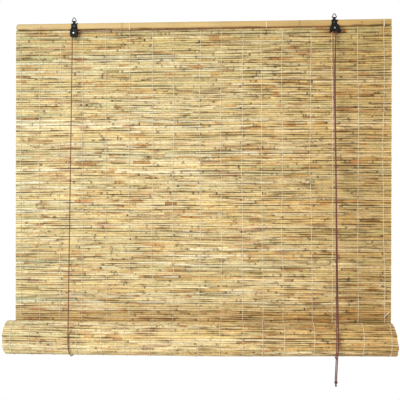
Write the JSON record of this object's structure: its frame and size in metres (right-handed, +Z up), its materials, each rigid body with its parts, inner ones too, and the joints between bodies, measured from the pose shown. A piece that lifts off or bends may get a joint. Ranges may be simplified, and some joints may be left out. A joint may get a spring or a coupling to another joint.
{
  "type": "roll-up reed blind",
  "caption": "Window blind of thin horizontal reeds bound with string, hung by wire rings from a batten head and rolled up from below in lift cords worked by a pull cord with a cam lock.",
  "frame": {"origin": "on the line that the tops of the two hanging rings bear on, at the middle of the mat's width", "axes": "+X to the right seen from the front, along the reeds; +Y to the back, towards the wall; +Z up"},
  "size_m": [0.908, 0.0991, 0.8608],
  "materials": {
    "reed": "dry split and round reeds, straw to light brown, satin",
    "batten": "split bamboo slat, satin with brown patches",
    "string": "cream twisted string",
    "cord": "reddish brown braided cord",
    "black_steel": "black, semi-gloss",
    "pulley": "black moulded",
    "cam": "blackened",
    "rivet": "bright",
    "nail": "dull grey"
  },
  "bodies": {
    "head": {"head_batten_front": "batten", "head_batten_back": "batten", "batten_ties": "string", "batten_nails": "nail", "reed_panel": "reed", "panel_strings": "string", "left_hanger_strap": "black_steel", "left_hanger_nail": "nail", "left_pulley_pin": "rivet", "right_hanger_strap": "black_steel", "right_hanger_nail": "nail", "right_pulley_pin": "rivet", "lock_cam_pin": "black_steel", "left_cord_front": "cord", "left_cord_back": "cord", "left_cord_knot": "cord", "left_cord_cross": "cord", "right_cord_front": "cord", "right_cord_back": "cord", "right_cord_knot": "cord", "right_cord_bend": "cord", "pull_cord_upper": "cord"},
    "slings": {"left_cord_sling": "cord", "right_cord_sling": "cord", "pull_cord_lower": "cord"},
    "roll": {"reed_roll": "reed", "roll_strings": "string", "bottom_batten": "batten"},
    "left_pulley": {"left_pulley": "pulley"},
    "right_pulley": {"right_pulley": "pulley"},
    "left_ring": {"left_hanger_ring": "black_steel"},
    "right_ring": {"right_hanger_ring": "black_steel"},
    "lock_cam": {"lock_cam": "cam"},
    "pull_end": {"pull_knot": "cord"}
  },
  "joints": [
    {"name": "lift", "type": "slide", "parent": "head", "child": "slings", "axis": [0, 0, 1], "range_m": [0, 0.6], "deforming": ["reed_panel", "panel_strings", "left_cord_front", "right_cord_front", "left_cord_back", "right_cord_back", "pull_cord_upper"]},
    {"name": "roll_turn", "type": "hinge", "parent": "slings", "child": "roll", "pos_m": [0, -0.0293, -0.763], "axis": [-1, 0, 0], "range_deg": [0, 720]},
    {"name": "pull_drop", "type": "slide", "parent": "slings", "child": "pull_end", "axis": [0, 0, -1], "range_m": [0, 1.8], "deforming": ["pull_cord_lower"]},
    {"name": "left_pulley_spin", "type": "hinge", "parent": "head", "child": "left_pulley", "pos_m": [-0.3045, -0.0028, -0.037], "axis": [0, 1, 0], "range_deg": [0, 18840]},
    {"name": "right_pulley_spin", "type": "hinge", "parent": "head", "child": "right_pulley", "pos_m": [0.3175, -0.0046, -0.0343], "axis": [0, 1, 0], "range_deg": [0, 18840]},
    {"name": "left_ring_swing", "type": "hinge", "parent": "head", "child": "left_ring", "pos_m": [-0.3045, 0, -0.0083], "axis": [1, 0, 0], "range_deg": [-85, 85]},
    {"name": "right_ring_swing", "type": "hinge", "parent": "head", "child": "right_ring", "pos_m": [0.3175, 0, -0.0083], "axis": [1, 0, 0], "range_deg": [-85, 85]},
    {"name": "lock_cam_turn", "type": "hinge", "parent": "head", "child": "lock_cam", "pos_m": [0.328, -0.0046, -0.0403], "axis": [0, -1, 0], "range_deg": [0, 40]}
  ],
  "couplings": [
    {"joint": "roll_turn", "follows": "lift", "rad_per_m": 20.943},
    {"joint": "pull_drop", "follows": "lift", "ratio": 3},
    {"joint": "left_pulley_spin", "follows": "lift", "rad_per_m": 547.95},
    {"joint": "right_pulley_spin", "follows": "lift", "rad_per_m": 547.95}
  ]
}
